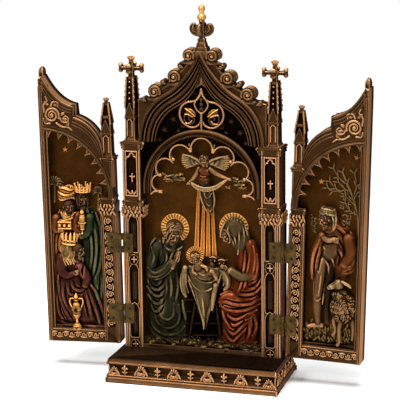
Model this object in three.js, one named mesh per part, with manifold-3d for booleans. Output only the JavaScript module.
// Triptych altarpiece: a cast shrine with a Nativity relief and two hinged, carved wings, on a
// moulded base. Millimetres, +Z up, the front faces -Y. The origin is the centre of the
// underside of the base, and the plane y = 0 is the front of the central panel's caps.
import * as THREE from 'three';
import { mergeVertices } from 'three/addons/utils/BufferGeometryUtils.js';
import Module from 'manifold-3d';

const wasm = await Module();
wasm.setup();

// ---- driving dimensions --------------------------------------------------------------------
const TOTAL_HEIGHT = 240;
const BASE = { height: 15.8, footX: 56.9, footY: 27.6, topX: 55.4, topY: 24 };
const PANEL = { depth: 18.4, ground: 11.4, tympanum: 7.6, shaftFront: 0.9 };
const PILLAR = {
  inner: 39.8, outer: 52.3, upperOuter: 51.5, capInner: 36.7, capOuter: 53.0, capTop: 152.6, sunkX: 45.2,
};
const CAPITAL = { top: 114, bottom: 103, inner: 37.6, outer: 52.6 };
const ARCH = { centreZ: 123.2, outer: 38.3, inner: 34.4 };
const GABLE = { foot: 152.6, apex: 211 };
const PINNACLE = {
  x: 47, half: [3.2, 5.4], neckHalf: [2.1, 3.9], spireFoot: 174, neck: 193, armsZ: 198.9, top: 206.4,
};
const WING = {
  bottom: 17.5, inner: 1.7, upperInner: 3, outer: 50.1, depth: 13.8, face: 1, shaft: 2, ground: 10.2,
  railTop: 26, stile: 47.8, springZ: 115, archOuter: 47.6, archInner: 44.2, capTop: 141.4,
  stepX: 27, stepLow: 169, stepHigh: 175, pinnacleX: 6.7,
};
const HINGE = {
  x: 53.9, y: -1.2, height: 12.8, lowZ: 38.5, highZ: 86, knuckle: 1.3, bore: 0.75, pin: 0.58,
  leafFace: 1.2, leafThick: 0.7, leafReach: 8.6, play: 0.2,
};
const SCREW = { head: 1.15, headHigh: 0.4, shank: 0.5, hole: 0.75, length: 4.4, fromAxis: 5.6, apart: 7 };
const WING_POSE = {
  left: { side: -1, openForward: 4.5, lean: 0.75 },
  right: { side: 1, openForward: 2, lean: 1.4 },
};
const LEAN_PIVOT_Z = 20;
const TOUCH_GAP = 0.3;

// ---- solids ---------------------------------------------------------------------------------
function solid(geometry) {
  const bare = geometry.clone();
  bare.deleteAttribute('normal');
  bare.deleteAttribute('uv');
  const welded = mergeVertices(bare, 1e-4);
  const body = new wasm.Mesh({
    numProp: 3,
    vertProperties: new Float32Array(welded.attributes.position.array),
    triVerts: new Uint32Array(welded.index.array),
  });
  return new wasm.Manifold(body);
}

function join(parts) {
  return parts.flat(Infinity).reduce((whole, part) => whole.add(part));
}

function toGeometry(whole) {
  const mesh = whole.getMesh();
  const geometry = new THREE.BufferGeometry();
  const points = new Float32Array(mesh.numVert * 3);
  for (let i = 0; i < mesh.numVert; i += 1) {
    for (let k = 0; k < 3; k += 1) {
      points[3 * i + k] = mesh.vertProperties[mesh.numProp * i + k];
    }
  }
  geometry.setAttribute('position', new THREE.BufferAttribute(points, 3));
  geometry.setIndex(new THREE.BufferAttribute(new Uint32Array(mesh.triVerts), 1));
  return geometry;
}

function block(x0, x1, y0, y1, z0, z1) {
  const [left, right] = [Math.min(x0, x1), Math.max(x0, x1)];
  const geometry = new THREE.BoxGeometry(right - left, y1 - y0, z1 - z0);
  geometry.translate((left + right) / 2, (y0 + y1) / 2, (z0 + z1) / 2);
  return solid(geometry);
}

// an outline in the upright plane, as [x, z] points, made thick from y = front to y = back
function slab(outline, front, back) {
  const shape = new THREE.Shape(outline.map(([x, z]) => new THREE.Vector2(x, z)));
  const geometry = new THREE.ExtrudeGeometry(shape, {
    depth: back - front, bevelEnabled: false, steps: 1,
  });
  geometry.rotateX(Math.PI / 2);
  geometry.translate(0, back, 0);
  return solid(geometry);
}

function disc(x, z, radius, front, back, sides = 12) {
  const geometry = new THREE.CylinderGeometry(radius, radius, back - front, sides);
  geometry.translate(x, (front + back) / 2, z);
  return solid(geometry);
}

function ball([x, y, z], [rx, ry, rz], detail = 0, tilt = 0) {
  const geometry = new THREE.IcosahedronGeometry(1, detail);
  geometry.scale(rx, ry, rz);
  geometry.rotateY(THREE.MathUtils.degToRad(tilt));
  geometry.translate(x, y, z);
  return solid(geometry);
}

// a tapering limb between two points
function limb(from, to, fromRadius, toRadius, sides = 6) {
  const a = new THREE.Vector3(...from);
  const b = new THREE.Vector3(...to);
  const along = b.clone().sub(a);
  const geometry = new THREE.CylinderGeometry(toRadius, fromRadius, along.length(), sides);
  const turn = new THREE.Quaternion();
  turn.setFromUnitVectors(new THREE.Vector3(0, 1, 0), along.clone().normalize());
  geometry.applyQuaternion(turn);
  geometry.translate((a.x + b.x) / 2, (a.y + b.y) / 2, (a.z + b.z) / 2);
  return solid(geometry);
}

// rings of points joined into one closed skin, each ring listed the same way round
function skin(rings) {
  const sides = rings[0].length;
  const points = rings.flat(2);
  const faces = [];
  for (let r = 0; r < rings.length - 1; r += 1) {
    for (let i = 0; i < sides; i += 1) {
      const j = (i + 1) % sides;
      const [a, b] = [r * sides + i, r * sides + j];
      faces.push(a, b, b + sides, a, b + sides, a + sides);
    }
  }
  const last = (rings.length - 1) * sides;
  for (let i = 1; i < sides - 1; i += 1) {
    faces.push(0, i + 1, i, last, last + i, last + i + 1);
  }
  const geometry = new THREE.BufferGeometry();
  geometry.setAttribute('position', new THREE.Float32BufferAttribute(points, 3));
  geometry.setIndex(faces);
  return solid(geometry);
}

// a draped body standing against the ground: levels of [z, centre x, half width, half depth]
function drapery(levels, backY, flutes, fold, sides = 9) {
  const rings = levels.map(([z, cx, halfX, halfY], level) => {
    const ring = [];
    for (let i = 0; i < sides; i += 1) {
      const angle = (2 * Math.PI * i) / sides;
      const depth = 1 + fold * Math.cos(flutes * angle + level);
      const out = Math.sin(angle) < 0 ? halfY : 0.8;
      ring.push([cx + halfX * depth * Math.cos(angle), backY + out * depth * Math.sin(angle), z]);
    }
    return ring;
  });
  return skin(rings);
}

// a four-sided tapering post: levels of [z, half width, half depth], about one upright axis
function post(x, y, levels) {
  const corners = [[-1, -1], [1, -1], [1, 1], [-1, 1]];
  return skin(levels.map(([z, half, halfDepth = half]) => (
    corners.map(([i, j]) => [x + i * half, y + j * halfDepth, z])
  )));
}

// a rolled leaf end, as a drum with a raised eye
function scroll(x, z, radius, front, back) {
  return [disc(x, z, radius, front + 0.8, back, 8), disc(x, z, radius * 0.42, front, front + 2, 6)];
}

// ---- the ogee gable of the central panel ----------------------------------------------------
// half of an ogee, from its foot up to the apex, as two quadratic curves
function ogee(foot, shoulder, turn, waist, apex) {
  const point = ([x, z]) => new THREE.Vector2(x, z);
  const path = new THREE.CurvePath();
  path.add(new THREE.QuadraticBezierCurve(point(foot), point(shoulder), point(turn)));
  path.add(new THREE.QuadraticBezierCurve(point(turn), point(waist), point(apex)));
  return path;
}

const gableOuter = ogee([41, GABLE.foot], [40, 174], [24, 183.5], [8.8, 192.5], [0, GABLE.apex]);
const gableInner = ogee([30.5, GABLE.foot], [29, 168.5], [16, 175.5], [3.5, 182.5], [0, 197]);
const OGEE_STEPS = 5;

// the line that lies a share of the way in from the outer ogee to the inner one, left to right
function ogeeLine(share) {
  const half = [];
  for (let i = 0; i <= 2 * OGEE_STEPS; i += 1) {
    const curve = Math.min(Math.floor(i / OGEE_STEPS), 1);
    const t = i / OGEE_STEPS - curve;
    const a = gableOuter.curves[curve].getPoint(t);
    const b = gableInner.curves[curve].getPoint(t);
    half.push([a.x + share * (b.x - a.x), a.y + share * (b.y - a.y)]);
  }
  const mirrored = half.slice(0, -1).map(([x, z]) => [-x, z]);
  return [...mirrored, ...half.reverse()];
}

function ogeeBand(from, to, front, back) {
  return slab([...ogeeLine(from), ...ogeeLine(to).reverse()], front, back);
}

function arcPoints(cx, cz, radius, from, to, steps) {
  const points = [];
  for (let i = 0; i <= steps; i += 1) {
    const angle = THREE.MathUtils.degToRad(from + ((to - from) * i) / steps);
    points.push([cx + radius * Math.cos(angle), cz + radius * Math.sin(angle)]);
  }
  return points;
}

function archBand(outer, inner, front, back) {
  const outside = arcPoints(0, ARCH.centreZ, outer, 0, 180, 12);
  const inside = arcPoints(0, ARCH.centreZ, inner, 180, 0, 12);
  return slab([...outside, ...inside], front, back);
}

function gable() {
  const behind = slab(ogeeLine(0), PANEL.ground, PANEL.depth - 1.4);
  const field = [...ogeeLine(0), [38, ARCH.centreZ], [-38, ARCH.centreZ]];
  const spandrels = slab(field, PANEL.tympanum, PANEL.ground + 1)
    .subtract(disc(0, ARCH.centreZ, ARCH.outer - 1, 0, PANEL.depth, 24));
  const bands = [[0, 1, 5.2], [0, 0.16, 2.2], [0.48, 0.66, 3.4]];
  const mouldings = bands.map(([from, to, front]) => ogeeBand(from, to, front, PANEL.tympanum + 1));
  const scrolls = [];
  const places = [[7.6, 208.4, 4.2], [17.4, 194.6, 4.5], [30.4, 184.8, 4.6]];
  const knobs = [[13, 201.4, 2.4], [24.6, 190.6, 2.2], [37.6, 179, 2.2]];
  for (const side of [-1, 1]) {
    for (const [x, z, radius] of places) {
      scrolls.push(scroll(side * x, z, radius, 3.2, 16));
    }
    for (const [x, z, radius] of knobs) {
      scrolls.push(ball([side * x, 9, z], [radius, 4.6, radius]));
    }
    const backing = [
      [42.6, GABLE.foot], [42.6, 179.6], [34, 181], [24, 188.5], [13, 199], [5.5, 208], [0, 209],
    ];
    const outline = [...backing, [0, 190], [20, 180], [36, GABLE.foot]];
    scrolls.push(slab(outline.map(([x, z]) => [side * x, z]), 6, 15));
  }
  return [behind, spandrels, mouldings, scrolls];
}

// the spade-shaped tracery of the tympanum
function spade(scale) {
  const half = [];
  const curve = new THREE.CubicBezierCurve(
    new THREE.Vector2(0, 187), new THREE.Vector2(3, 176),
    new THREE.Vector2(15.5, 184), new THREE.Vector2(14.4, 171),
  );
  const lobe = new THREE.CubicBezierCurve(
    new THREE.Vector2(14.4, 171), new THREE.Vector2(13.4, 160.5),
    new THREE.Vector2(2.5, 161), new THREE.Vector2(0, 167),
  );
  for (const part of [curve, lobe]) {
    for (const p of part.getPoints(5)) {
      half.push([p.x * scale, 173 + (p.y - 173) * scale]);
    }
  }
  const right = half.filter(([x], i) => i === 0 || x > 0.01 || i === half.length - 1);
  const left = right.slice(1, -1).reverse().map(([x, z]) => [-x, z]);
  return [...right, ...left];
}

function tympanum() {
  const ring = slab(spade(1), 5.6, PANEL.tympanum + 0.6).subtract(slab(spade(0.86), 5, 9));
  const lozenge = slab([[0, 184], [3.6, 178.5], [0, 171], [-3.6, 178.5]], 6.2, PANEL.tympanum + 0.6);
  const mullion = block(-0.6, 0.6, 6, PANEL.tympanum + 0.6, 161, 172);
  const rosettes = [-7.6, 7.6].map((x) => ball([x, 7.2, 170.4], [4.4, 1.6, 4.2]));
  return [ring, lozenge, mullion, rosettes];
}

function archAndTracery() {
  const { centreZ, inner } = ARCH;
  const ribs = [
    archBand(ARCH.outer, inner, 3.2, PANEL.ground + 1),
    archBand(ARCH.outer, ARCH.outer - 1.4, 1.8, 4),
  ];
  const foils = [[90, 25.8, 7], [56, 25.2, 7], [27, 27.2, 6.3], [3, 30.6, 6]];
  const centres = [];
  for (const [angle, reach, radius] of foils) {
    for (const side of angle === 90 ? [1] : [-1, 1]) {
      const turn = THREE.MathUtils.degToRad(angle);
      centres.push([side * reach * Math.cos(turn), centreZ + reach * Math.sin(turn), radius]);
    }
  }
  const plate = slab(arcPoints(0, centreZ, inner + 1, 0, 180, 12), 5.4, 7.6);
  const bearing = ([x, z]) => Math.atan2(x, z - centreZ);
  const around = centres.slice().sort((a, b) => bearing(b) - bearing(a));
  const middle = slab([...around.map(([x, z]) => [x, z]), [-36, 117], [36, 117]], 5, 8);
  const holes = centres.map(([x, z, radius]) => disc(x, z, radius, 5, 8, 9));
  return [ribs, plate.subtract(join([middle, holes]))];
}

// ---- pillars, capitals and pinnacles --------------------------------------------------------
// a sunk panel with a pointed head
function lancet(x, halfWidth, low, high, front, back) {
  const point = high + halfWidth * 1.3;
  return slab([[x - halfWidth, low], [x + halfWidth, low], [x + halfWidth, high], [x, point],
    [x - halfWidth, high]], front, back);
}

function pinnacle(x, y, foot, [half, halfDepth], [neckHalf, neckDepth], spireFoot, neck) {
  const stage = (z, grow) => [z, half + grow, halfDepth + grow];
  const shaft = post(x, y, [stage(foot, 0.5), stage(foot + 2.4, 0), stage(spireFoot, -0.2)]);
  const spire = post(x, y, [stage(spireFoot, -0.1), [neck, neckHalf, neckDepth]]);
  const gablet = [[-half - 0.3, spireFoot - 6], [half + 0.3, spireFoot - 6], [0, spireFoot + 3.4]];
  const gable = slab(gablet.map(([dx, z]) => [x + dx, z]), y - halfDepth - 0.5, y + halfDepth + 0.5);
  const front = y - halfDepth;
  const sunk = lancet(x, half * 0.5, foot + 3.6, spireFoot - 5, front - 1, front + 0.6);
  return { body: [shaft, spire, gable], sunk };
}

function pillar(side) {
  const at = (x) => side * x;
  const middle = (PILLAR.inner + PILLAR.outer) / 2;
  const { depth, shaftFront } = PANEL;
  const shaft = [
    block(at(PILLAR.inner), at(PILLAR.outer), shaftFront, depth, BASE.height, CAPITAL.bottom + 1),
    block(at(PILLAR.inner), at(PILLAR.upperOuter), shaftFront, depth, CAPITAL.bottom, PILLAR.capTop - 1),
  ];
  const cap = [
    block(at(PILLAR.capInner), at(PILLAR.capOuter), 0, depth, PILLAR.capTop - 2, PILLAR.capTop),
    block(at(PILLAR.capInner + 1.4), at(PILLAR.capOuter - 0.5), 0.4, depth,
      PILLAR.capTop - 5, PILLAR.capTop - 2),
  ];
  const abacus = [
    block(at(CAPITAL.inner), at(CAPITAL.outer), 0, depth, CAPITAL.top - 3.6, CAPITAL.top),
    skin([[CAPITAL.bottom, PILLAR.inner + 0.4, PILLAR.outer, shaftFront],
      [CAPITAL.top - 3.6, CAPITAL.inner + 0.6, CAPITAL.outer, 0.2]].map(([z, inner, outer, front]) => {
      const ring = [[at(inner), front, z], [at(outer), front, z], [at(outer), 12, z], [at(inner), 12, z]];
      return side > 0 ? ring : ring.reverse();
    })),
  ];
  const sunk = [
    lancet(at(middle), 3.4, 118.5, 142, 0, shaftFront + 1),
    lancet(at(PILLAR.sunkX), 2.6, 81, 98, 0, shaftFront + 0.8),
    lancet(at(PILLAR.sunkX), 2.6, 46, 66, 0, shaftFront + 0.8),
  ];
  const y = depth / 2;
  const { x, half, neckHalf, spireFoot, neck, armsZ, top: tip } = PINNACLE;
  const top = pinnacle(at(x), y, PILLAR.capTop - 0.5, half, neckHalf, spireFoot, neck);
  const cross = [
    post(at(x), y, [neck - 1, neck + 0.6].map((z) => [z, neckHalf[0] + 0.5, neckHalf[1] + 0.4])),
    post(at(x), y, [[neck, 1.7, 2.2], [armsZ, 2, 2], [tip - 3, 1.4], [tip, 2.4]]),
    block(at(x - 6.6), at(x + 6.6), y - 1.4, y + 1.4, armsZ - 1.7, armsZ + 1.7),
    block(at(x - 1.4), at(x + 1.4), y - 6.4, y + 6.4, armsZ - 1.7, armsZ + 1.7),
    [-7, 7].map((dx) => ball([at(x) + dx, y, armsZ], [1.8, 2.2, 3])),
  ];
  const whole = join([shaft, cap, abacus, top.body, cross]);
  return whole.subtract(join([sunk, top.sunk]));
}

// ---- the tall finial ------------------------------------------------------------------------
function finial() {
  const y = PANEL.depth / 2;
  const stem = post(0, y, [
    [208, 5.2], [213.4, 4.6], [218, 3.2], [219.4, 1.8], [230, 1.7], [231, 2.7], [233.6, 2.7],
    [234.6, 1.2], [237, 2.1], [TOTAL_HEIGHT, 1],
  ]);
  const leaves = [];
  for (const [dx, dy] of [[-1, 0], [1, 0], [0, -1], [0, 1]]) {
    leaves.push(ball([dx * 4.6, y + dy * 4.6, 224.4], [dx ? 4.4 : 2.6, dy ? 4.4 : 2.6, 4]));
  }
  return [stem, leaves];
}

// ---- the Nativity relief --------------------------------------------------------------------
function halo(x, z, radius, y) {
  return disc(x, z, radius, y, PANEL.ground + 0.5, 12);
}

function standingMan() {
  const back = PANEL.ground;
  const robe = drapery([[20.5, -24.5, 11, 4.6], [42, -26, 11, 5.8], [64, -26.6, 10, 6.2], [80, -24.6, 9, 6.2],
    [88, -20.6, 5, 4.4]], back, 5, 0.08);
  const arms = [limb([-31, 8, 80], [-33, 6, 65], 3.6, 3.8), limb([-33, 6, 65.4], [-18.6, 4.6, 75], 3.8, 2.6),
    ball([-17.2, 4.8, 77.6], [2.3, 2, 4.6], 0, 20)];
  const head = [ball([-17.8, 7.6, 92.4], [5, 4.6, 7.2], 0, 12), ball([-19.6, 8.8, 96], [5.8, 4, 5.2])];
  return [robe, arms, head, halo(-18.2, 95.4, 9.4, 10)];
}

function veiledWoman() {
  const back = PANEL.ground;
  const robe = drapery([[20.5, 22.5, 11, 4.6], [38, 24, 12.6, 6], [60, 26, 11.4, 6.4], [78, 28, 9, 6.4],
    [91, 25, 5.4, 4.6]], back, 5, 0.07);
  const arms = [
    limb([33, 7.6, 82], [32.4, 5.4, 67], 3.4, 3.6),
    limb([32.4, 5.4, 67], [17.4, 4.8, 70.4], 3.6, 2.2),
  ];
  const head = [ball([18.8, 7.4, 96.6], [4.8, 4.4, 6.4], 0, -14), ball([22.6, 8.8, 97], [7, 4.4, 7.6])];
  return [robe, arms, head, halo(20.8, 98.6, 9.6, 10)];
}

function mangerAndChild() {
  const cloth = skin([[29.5, 0, 1.6, 9], [44, -1, 6.4, 6.4], [58, -0.6, 10, 4.4], [70, 0, 13.4, 4.6],
    [72.6, 0, 12.6, 8.6]].map(([z, cx, half, front]) => [[cx - half, front, z], [cx, front - 1, z],
    [cx + half, front, z], [cx + half, 12, z], [cx - half, 12, z]]));
  const child = [ball([0.4, 5.2, 71.6], [6.4, 3, 3.2]), limb([2, 5, 70.6], [8.6, 5.2, 72.4], 2.4, 1.2),
    ball([-4.6, 5.4, 77.4], [3.1, 2.9, 3.5]), ball([-4.8, 7, 74], [4.4, 3.4, 3.6]),
    halo(-4.6, 79.6, 5.8, 8.4)];
  const beasts = [[6.6, 75.6], [11.4, 74]].map(([x, z]) => ball([x, 8.4, z], [2.6, 3, 3.6]));
  return [cloth, child, beasts];
}

function angel() {
  const body = [ball([1, 8.2, 132.6], [5, 4, 8.4]), ball([1.6, 7.2, 141], [3.1, 2.8, 3.9]),
    limb([3, 7.6, 128], [4.4, 8.6, 111], 4.4, 3)];
  const arms = [
    limb([-2, 7.4, 134], [-7.6, 5.8, 128.4], 1.9, 1.3, 5),
    limb([4, 7.4, 134], [16.4, 6, 131.4], 2, 1.2, 5),
  ];
  const wings = [-1, 1].map((side) => (
    limb([1.4 + side * 4, 9.4, 138], [1.4 + side * 15, 9, 143.4], 3.4, 2.6, 5)));
  const swag = [[-7.6, 128.4], [-1, 124.6], [6, 124.2], [16.4, 131.4]];
  const cord = swag.slice(1).map(([x, z], i) => (
    limb([swag[i][0], 5.8, swag[i][1]], [x, 5.8, z], 0.9, 0.9, 5)));
  return [body, arms, wings, cord];
}

function rays() {
  const fan = [[-2.6, -3.6, 122], [0.2, 2.2, 110], [3.4, 5.2, 108], [6.2, 8.4, 108]];
  return fan.map(([top, low, high]) => {
    const bar = [[top - 0.8, high], [top + 0.8, high], [low + 1.35, 79], [low - 1.35, 79]];
    return slab(bar, 9.6, PANEL.ground + 0.5);
  });
}

function cloudsAndGrass() {
  const leaves = [];
  for (const [x, z] of [[-21, 129.6], [22.6, 127.4]]) {
    for (const dx of [-3.6, 3.6]) {
      leaves.push(ball([x + dx, 10.6, z + dx / 6], [4.6, 2.4, 2.6]));
    }
  }
  const tufts = [];
  for (let i = 0; i < 5; i += 1) {
    tufts.push(ball([-32 + 16 * i, 7.6, 19.6 + (i % 2)], [8.6, 5, 3.6]));
  }
  return [leaves, tufts];
}

function centralPanel() {
  const { depth, ground } = PANEL;
  const plate = block(-PILLAR.inner - 1, PILLAR.inner + 1, ground, depth - 1, BASE.height, GABLE.foot + 1);
  const sill = block(-40.6, 40.6, 1.4, ground + 1, BASE.height, 18.6);
  const pieces = [plate, sill, gable(), tympanum(), archAndTracery(), pillar(-1), pillar(1), finial(),
    standingMan(), veiledWoman(), mangerAndChild(), angel(), rays(), cloudsAndGrass()];
  const whole = join(pieces);
  return whole.subtract(join([panelScrewHoles(-1), panelScrewHoles(1)]));
}

// ---- the wings, drawn outwards from their hinge axis ------------------------------------------
function wingOutline() {
  const W = WING;
  const rise = new THREE.QuadraticBezierCurve(
    new THREE.Vector2(W.stepX, W.stepHigh), new THREE.Vector2(39, 177), new THREE.Vector2(47, 193),
  ).getPoints(6).map((p) => [p.x, p.y]);
  const shoulder = arcPoints(34.6, 143.5, 25.6, 178, 108, 6);
  return { rise, shoulder };
}

function wingPinnacle(side) {
  const [x, y, foot] = [side * WING.pinnacleX, 7.8, WING.capTop - 0.4];
  const part = pinnacle(x, y, foot, [3.4, 4], [1.6, 1.8], 163, 176);
  const bud = post(x, y, [[166.6, 3.3, 3.7], [168.6, 3.3, 3.7]]);
  const tip = post(x, y, [[175, 1.5], [177, 1.4], [178.4, 1.7], [179.8, 0.9]]);
  return { body: [part.body, bud, tip], sunk: part.sunk };
}

function wingFrame(side) {
  const W = WING;
  const at = (points) => points.map(([x, z]) => [side * x, z]);
  const back = W.depth + 1;
  const { rise, shoulder } = wingOutline();
  const gableEdge = [
    [W.outer, 190], ...rise.slice().reverse(), [W.stepX, W.stepLow], ...shoulder.slice().reverse(),
  ];
  const body = slab(at([[W.inner, W.bottom], [W.outer, W.bottom], ...gableEdge, [9, W.capTop - 2],
    [W.upperInner, W.capTop - 2], [W.upperInner, W.springZ - 4], [W.inner, 104]]), W.shaft, back);
  const opening = slab(at([[11.6, W.railTop], [W.stile, W.railTop],
    ...arcPoints(W.outer, W.springZ, W.archInner + 1, 93, 149.4, 8)]), 0, W.ground);
  const rim = slab(at([...arcPoints(W.outer, W.springZ, W.archOuter, 91, 180, 11),
    ...arcPoints(W.outer, W.springZ, W.archInner, 180, 93, 11)]), W.face + 0.4, W.ground);
  const innerRise = rise.slice().reverse().map(([x, z]) => [x + 1.2, z - 3.4]);
  const mouldings = [
    slab(at([...rise, ...innerRise]), W.face, W.shaft + 2),
    slab(at([...shoulder, ...arcPoints(34.6, 143.5, 22, 108, 178, 6)]), W.face, W.shaft + 2),
    block(side * W.stepX, side * (W.stepX + 2), W.face, W.shaft + 2, W.stepLow, W.stepHigh),
  ];
  const cusps = [];
  for (let i = 0; i < 8; i += 1) {
    const turn = THREE.MathUtils.degToRad(98 + 9.4 * i);
    const [c, s] = [Math.cos(turn), Math.sin(turn)];
    const r = W.archInner + 0.6;
    const tooth = [[r * c - 2.6 * s, r * s + 2.6 * c], [r * c + 2.6 * s, r * s - 2.6 * c],
      [(r - 5.4) * c, (r - 5.4) * s]];
    cusps.push(slab(at(tooth.map(([x, z]) => [W.outer + x, W.springZ + z])), 3.4, 5.4));
  }
  const spiral = scroll(side * 41.6, 169, 5.4, W.face + 0.2, W.shaft + 1.6);
  const leaf = [[33, 168.6, 3.4], [46.4, 181, 2.6]]
    .map(([x, z, r]) => ball([side * x, W.shaft + 0.4, z], [r, 1, r * 0.8]));
  return { body, opening, parts: [rim, mouldings, cusps, spiral, leaf] };
}

function wingPillar(side) {
  const W = WING;
  const at = (x) => side * x;
  const back = W.depth + 1;
  const cap = block(at(1.7), at(10.8), W.face, back, W.capTop - 3, W.capTop);
  const abacus = block(at(2.2), at(12.4), W.face, back, 111.4, W.springZ);
  const bell = block(at(W.inner + 0.5), at(11.6), W.shaft - 0.5, back, 104, 111.4);
  const tip = [
    block(at(46.8), at(W.outer), W.face + 1, back - 2, 186, 193.4),
    block(at(46), at(W.outer), W.face + 0.4, back - 1, 189.6, 191.6),
    ball([at(W.outer - 2.2), 7.6, 196], [2.2, 3.8, 3.6]),
  ];
  const rail = block(at(W.inner), at(W.outer), W.shaft - 0.6, 6, W.bottom, W.bottom + 1.6);
  return [cap, abacus, bell, tip, rail];
}

function wing({ side, lean }, relief) {
  const { body, opening, parts } = wingFrame(side);
  const top = wingPinnacle(side);
  const band = block(side * 4.4, side * 9.6, 0, WING.shaft + 0.5, 28, 102);
  const bottomBand = block(side * 4.4, side * 46, 0, WING.shaft + 0.5, 20.6, 24.4);
  const hollowed = body.subtract(join([opening]));
  const whole = join([hollowed, parts, wingPillar(side), top.body, relief]);
  return whole.subtract(join([band, bottomBand, top.sunk, wingScrewHoles(side, lean)]));
}

// ---- the reliefs of the wings ----------------------------------------------------------------
function onWing(side, [x, y, z]) {
  return [side * x, y, z];
}

function figure(side, { levels, flutes, head, hat, arms }) {
  const back = WING.ground + 0.6;
  const robe = drapery(levels.map(([z, cx, hx, hy]) => [z, side * cx, hx, hy]), back, flutes, 0.08);
  const skull = ball(onWing(side, head), [3.8, 3.5, 5.2]);
  const crown = ball(onWing(side, hat.at), hat.size);
  const limbs = arms.map(([from, to, a, b]) => limb(onWing(side, from), onWing(side, to), a, b));
  return [robe, skull, crown, limbs];
}

function magi() {
  const side = -1;
  const green = figure(side, {
    levels: [[26, 18.6, 6, 3.4], [60, 19, 6.4, 4.2], [92, 20, 6.6, 4.6], [110.6, 24, 2.6, 3]],
    flutes: 4, head: [24.2, 6.6, 113.6], hat: { at: [24, 7.2, 121], size: [5, 3.4, 4.6] },
    arms: [[[19, 6.4, 100], [25.6, 5.2, 89.6], 2.8, 2], [[22, 6, 97], [27.4, 4.8, 103], 2.2, 1.6]],
  });
  const orange = figure(side, {
    levels: [[26, 41, 5.8, 3.4], [60, 42, 5.6, 4.4], [92, 39, 7.2, 4.6], [105, 35.6, 3.6, 3.8]],
    flutes: 4, head: [34.6, 6.4, 109.6], hat: { at: [35.4, 7, 117], size: [5.4, 3.8, 4.2] },
    arms: [[[43, 6, 98], [36, 4.8, 91.6], 2.8, 2]],
  });
  const kneeling = [
    drapery([[26, 29, 13.6, 4], [46, 30.6, 12.4, 6], [66, 33.6, 8.6, 6.6], [80, 33.6, 6, 5.4]]
      .map(([z, cx, hx, hy]) => [z, side * cx, hx, hy]), WING.ground + 0.6, 5, 0.08),
    ball(onWing(side, [31.6, 5.4, 80]), [5.6, 3.6, 6.8]), ball(onWing(side, [34.4, 5.4, 90]), [5.6, 3.6, 5]),
    limb(onWing(side, [38, 5, 70]), onWing(side, [26, 4.4, 62]), 3, 2.2),
  ];
  const ewer = [
    post(side * 30.6, 3.8, [[27, 2.2], [28.6, 0.9], [34, 0.8], [46, 1], [49.6, 1.4]]),
    ball(onWing(side, [30.6, 3.9, 40.4]), [3.2, 1.9, 4.4]),
  ];
  return [green, orange, kneeling, ewer, reliefGround(side, []), star(side, 36, 145)];
}

function shepherd() {
  const side = 1;
  const man = figure(side, {
    levels: [[62, 27, 6, 3.2], [76, 31, 9.6, 4.6], [96, 32, 10.6, 5.2], [108.4, 26.6, 3.6, 3.8]],
    flutes: 4, head: [25, 6.2, 111], hat: { at: [26.4, 6.8, 115], size: [5.4, 3.8, 4.2] },
    arms: [[[22, 5.6, 97], [18, 5, 84], 3, 2.4], [[18, 5, 84], [26.6, 4.6, 92], 2.2, 1.6]],
  });
  const legs = [limb(onWing(side, [22, 7, 80]), onWing(side, [20.6, 6.4, 60]), 3.4, 2.4),
    limb(onWing(side, [20.6, 6.4, 61]), onWing(side, [21, 6.4, 40]), 2.4, 1.6),
    limb(onWing(side, [22.6, 6.2, 39.4]), onWing(side, [14.6, 5.8, 38.6]), 1.6, 1)];
  const sheep = [
    ball(onWing(side, [38, 6.8, 54]), [8.6, 4.6, 9.6]),
    ball(onWing(side, [33, 5.6, 67]), [6.2, 3.4, 5]),
    limb(onWing(side, [33, 6.4, 54]), onWing(side, [31, 6, 37]), 1.6, 1, 5),
    limb(onWing(side, [36.4, 6, 46]), onWing(side, [35, 6, 29]), 1.8, 1, 5),
  ];
  const branches = [
    [[44, 118], [35, 136], 0.9, 0.6],
    [[39, 128], [28, 131], 0.6, 0.5],
    [[37, 122], [29, 138], 0.7, 0.5],
  ];
  const tree = branches.map(([a, b, thick, thin]) => (
    limb([side * a[0], 9.8, a[1]], [side * b[0], 9.8, b[1]], thick, thin, 5)));
  const stars = [star(side, 42, 149), star(side, 20, 132)];
  return [man, legs, sheep, tree, reliefGround(side, [15.4, 25, 44]), stars];
}

function reliefGround(side, bushes) {
  const mound = block(side * 11, side * 48, 6.4, WING.ground + 0.5, WING.railTop - 1, WING.railTop + 1);
  const plants = bushes.map((x, i) => ball([side * x, 8.4, 30 + (i % 2) * 2], [4, 2.6, 5]));
  return [mound, plants];
}

function star(side, x, z) {
  const points = [];
  for (let i = 0; i < 10; i += 1) {
    const reach = i % 2 ? 0.8 : 2;
    points.push([side * x + reach * Math.sin((i * Math.PI) / 5), z + reach * Math.cos((i * Math.PI) / 5)]);
  }
  return slab(points, WING.ground - 0.6, WING.ground + 0.5);
}

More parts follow.
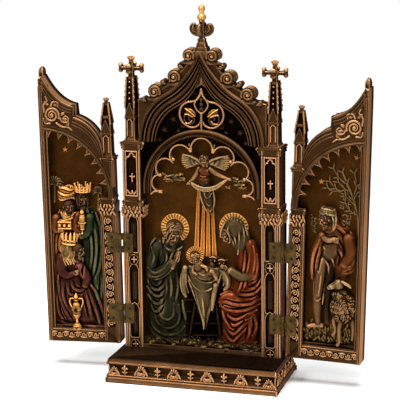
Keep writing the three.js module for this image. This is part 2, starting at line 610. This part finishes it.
// ---- base --------------------------------------------------------------------------------------
function base() {
  const levels = [
    [0, 0], [4.4, 0], [5.4, 0.6], [8, 1.15], [11.4, 1.05], [12.8, 0.4], [14, 0.4], [BASE.height, 1],
  ];
  const ring = ([z, inward]) => {
    const x = BASE.footX - inward * (BASE.footX - BASE.topX);
    const y = BASE.footY - inward * (BASE.footY - BASE.topY);
    return [[-x, -y, z], [x, -y, z], [x, y, z], [-x, y, z]];
  };
  const core = skin(levels.map(ring));
  const palmette = [[-2.2, 4.8], [2.2, 4.8], [4.4, 9.6], [0, 13], [-4.4, 9.6]];
  const fleur = [[-1.6, 7], [1.6, 7], [0, 12.6]];
  const palmettes = [];
  const place = (outline, x, y, turn) => {
    const shape = new THREE.Shape(outline.map(([u, v]) => new THREE.Vector2(u, v)));
    const geometry = new THREE.ExtrudeGeometry(shape, { depth: 2.2, bevelEnabled: false });
    geometry.rotateX(Math.PI / 2);
    geometry.translate(0, 1.1, 0);
    geometry.rotateZ(turn);
    geometry.translate(x, y, 0);
    palmettes.push(solid(geometry));
  };
  const rows = [[BASE.topX - 8, 9, 0, BASE.topY + 0.7], [BASE.topY - 6, 5, Math.PI / 2, BASE.topX - 0.5]];
  for (const [reach, count, turn, out] of rows) {
    for (const side of [-1, 1]) {
      for (let i = 0; i < count; i += 1) {
        const along = -reach + (2 * reach * i) / (count - 1);
        const outline = i % 2 ? fleur : palmette;
        place(outline, turn ? side * out : along, turn ? along : side * out, turn);
      }
    }
  }
  return join([core, palmettes]);
}

// ---- hinges, drawn about their own axis, reaching outwards along +X ------------------------------
function screwPlaces() {
  const places = [];
  for (const z of [HINGE.lowZ, HINGE.highZ]) {
    for (const dz of [-SCREW.apart / 2, SCREW.apart / 2]) {
      places.push(z + dz);
    }
  }
  return places;
}

function panelScrewHoles(side) {
  const x = side * (HINGE.x - SCREW.fromAxis);
  const holeEnd = HINGE.y + HINGE.leafFace + SCREW.length + TOUCH_GAP;
  return screwPlaces().map((z) => disc(x, z, SCREW.hole, 0, holeEnd, 5));
}

// a leaning casting is drilled where the upright hinge leaf puts its screws
function wingScrewHoles(side, lean) {
  const angle = THREE.MathUtils.degToRad(side * lean);
  return screwPlaces().map((height) => {
    const z = height - LEAN_PIVOT_Z;
    const x = side * SCREW.fromAxis;
    const across = x * Math.cos(angle) - z * Math.sin(angle);
    const up = x * Math.sin(angle) + z * Math.cos(angle) + LEAN_PIVOT_Z;
    return disc(across, up, SCREW.hole, 0, HINGE.leafFace + SCREW.length + TOUCH_GAP, 5);
  });
}

function hingeLeaf(reach, knuckles) {
  const { height, knuckle, bore, leafFace, leafThick } = HINGE;
  const way = Math.sign(reach);
  const back = leafFace + leafThick;
  const plate = block(way * (knuckle + 0.4), reach, leafFace, back, -height / 2, height / 2);
  const webs = knuckles.map(([low, high]) => block(0, way * (knuckle + 1), knuckle * 0.5, back, low, high));
  const barrels = knuckles.map(([low, high]) => upright(knuckle, low, high, 6));
  const holes = [-SCREW.apart / 2, SCREW.apart / 2]
    .map((z) => disc(way * SCREW.fromAxis, z, SCREW.hole, 0, 4, 5));
  return join([plate, webs, barrels]).subtract(join([upright(bore, -height, height, 6), holes]));
}

function upright(radius, low, high, sides) {
  const geometry = new THREE.CylinderGeometry(radius, radius, high - low, sides);
  geometry.rotateX(Math.PI / 2);
  geometry.translate(0, 0, (low + high) / 2);
  return solid(geometry);
}

function pin() {
  const half = HINGE.height / 2 + 0.5;
  return upright(HINGE.pin, -half, half, 6);
}

function screw() {
  const { head, headHigh, shank, length } = SCREW;
  const profile = [[0, -headHigh], [head * 0.75, -headHigh], [head, 0], [shank, 0], [0, length]]
    .map(([x, y]) => new THREE.Vector2(x, y));
  const geometry = new THREE.LatheGeometry(profile, 6);
  geometry.translate(0, HINGE.leafFace, 0);
  return solid(geometry);
}

// ---- scene ----------------------------------------------------------------------------------------
const finishes = {
  bronze: { color: 0x5a3a22, roughness: 0.42, metalness: 0.85 },
  darkBronze: { color: 0x2c1a10, roughness: 0.35, metalness: 0.7 },
  brass: { color: 0x7a6228, roughness: 0.45, metalness: 0.9 },
  steel: { color: 0x3a352e, roughness: 0.5, metalness: 0.9 },
};

const triptych = new THREE.Group();

function addPiece(parent, name, whole, finish) {
  const mesh = new THREE.Mesh(toGeometry(whole), new THREE.MeshStandardMaterial(finishes[finish]));
  mesh.name = name;
  parent.add(mesh);
  return mesh;
}

function addHinge(panelGroup, wingGroup, side, level, z) {
  const third = HINGE.height / 6;
  const play = HINGE.play;
  const outerKnuckles = [[-3 * third, -third], [third, 3 * third]];
  const middleKnuckle = [[-third + play, third - play]];
  const name = `${side < 0 ? 'left' : 'right'}_${level}`;
  const place = (mesh) => mesh.position.setZ(z);
  const panelLeaf = hingeLeaf(-side * HINGE.leafReach, outerKnuckles);
  const wingLeaf = hingeLeaf(side * HINGE.leafReach, middleKnuckle);
  place(addPiece(panelGroup, `${name}_hinge_panel_leaf`, panelLeaf, 'brass'));
  place(addPiece(panelGroup, `${name}_hinge_pin`, pin(), 'brass'));
  place(addPiece(wingGroup, `${name}_hinge_wing_leaf`, wingLeaf, 'brass'));
  for (const [row, dz] of [['lower', -SCREW.apart / 2], ['upper', SCREW.apart / 2]]) {
    for (const [part, group, way] of [['panel', panelGroup, -side], ['wing', wingGroup, side]]) {
      const mesh = addPiece(group, `${name}_hinge_${part}_screw_${row}`, screw(), 'steel');
      mesh.position.set(way * SCREW.fromAxis, 0, z + dz);
    }
  }
}

addPiece(triptych, 'base', base(), 'darkBronze');
addPiece(triptych, 'central_panel', centralPanel(), 'bronze');

const reliefs = { left: magi(), right: shepherd() };
for (const [name, pose] of Object.entries(WING_POSE)) {
  const axisGroup = new THREE.Group();
  axisGroup.position.set(pose.side * HINGE.x, HINGE.y, 0);
  triptych.add(axisGroup);
  const openGroup = new THREE.Group();
  openGroup.rotation.z = THREE.MathUtils.degToRad(-pose.side * pose.openForward);
  axisGroup.add(openGroup);
  const leanGroup = new THREE.Group();
  leanGroup.position.z = LEAN_PIVOT_Z;
  leanGroup.rotation.y = THREE.MathUtils.degToRad(pose.side * pose.lean);
  openGroup.add(leanGroup);
  const casting = addPiece(leanGroup, `${name}_wing`, wing(pose, reliefs[name]), 'bronze');
  casting.position.z = -LEAN_PIVOT_Z;
  addHinge(axisGroup, openGroup, pose.side, 'lower', HINGE.lowZ);
  addHinge(axisGroup, openGroup, pose.side, 'upper', HINGE.highZ);
}

export default triptych;
